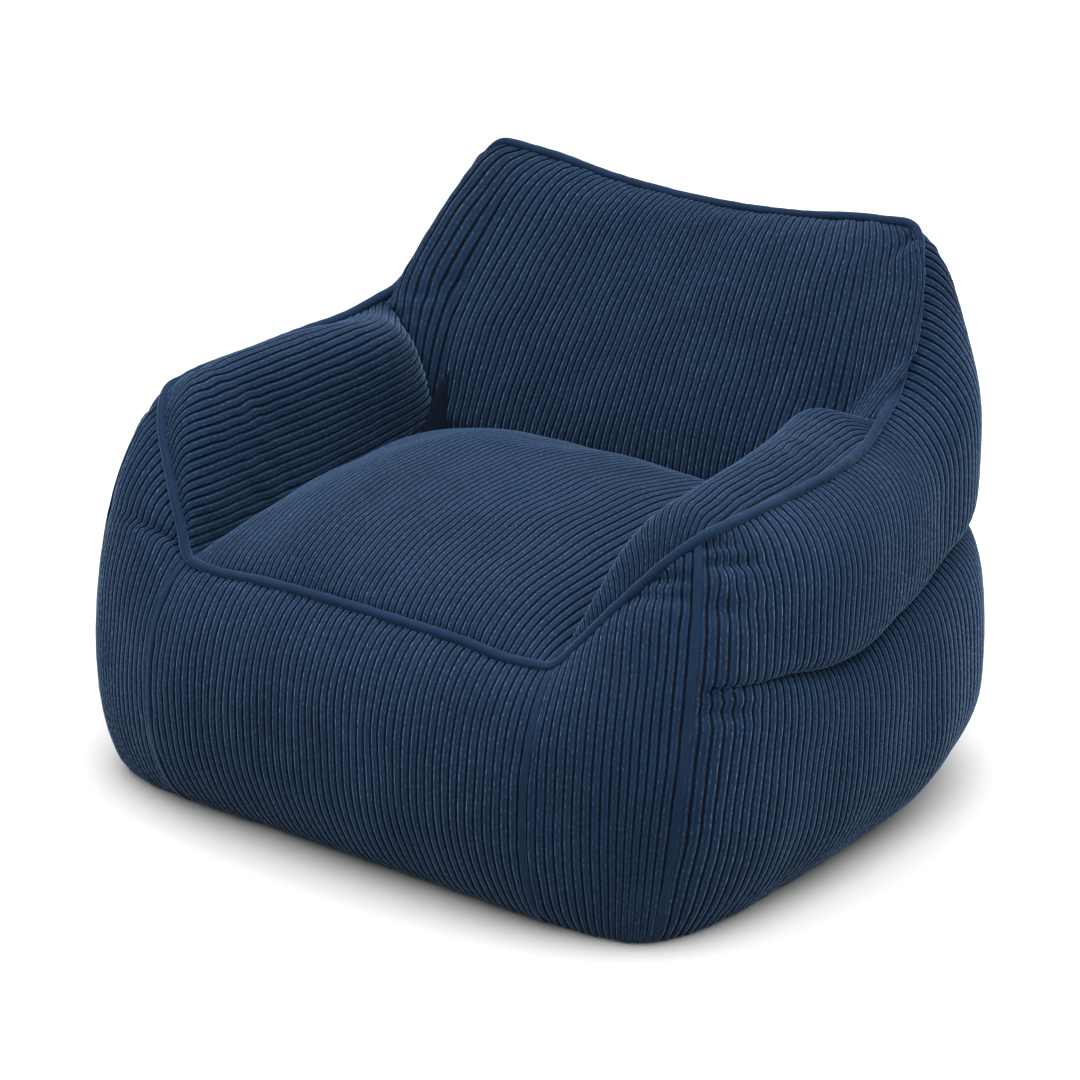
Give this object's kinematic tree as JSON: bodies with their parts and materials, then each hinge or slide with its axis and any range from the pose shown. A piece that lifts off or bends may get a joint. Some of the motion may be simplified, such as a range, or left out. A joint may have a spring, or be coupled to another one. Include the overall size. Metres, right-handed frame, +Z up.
{
  "type": "pouf armchair",
  "caption": "Low stuffed pouf armchair in wide-rib corduroy with a piped edge, a deep seat, two arms and a back.",
  "frame": {"origin": "on the floor under the middle of the chair's overall width and depth", "axes": "+Z up, the front faces -Y, +X to the right as seen from the front"},
  "size_m": [0.8522, 0.7413, 0.5906],
  "materials": {
    "corduroy": "wide ribs with a soft nap",
    "plain_trim": "plain short nap"
  },
  "bodies": {
    "root": {"seat_panel": "corduroy", "inner_arm_left": "corduroy", "inner_arm_right": "corduroy", "inner_back": "corduroy", "front_panel": "corduroy", "corner_panel_left": "corduroy", "corner_panel_right": "corduroy", "side_panel_left": "corduroy", "side_panel_right": "corduroy", "outer_back": "corduroy", "base_panel": "plain_trim", "piping": "plain_trim", "front_welt_left": "plain_trim", "front_welt_right": "plain_trim", "side_welt_left": "plain_trim", "side_welt_right": "plain_trim"}
  },
  "joints": []
}
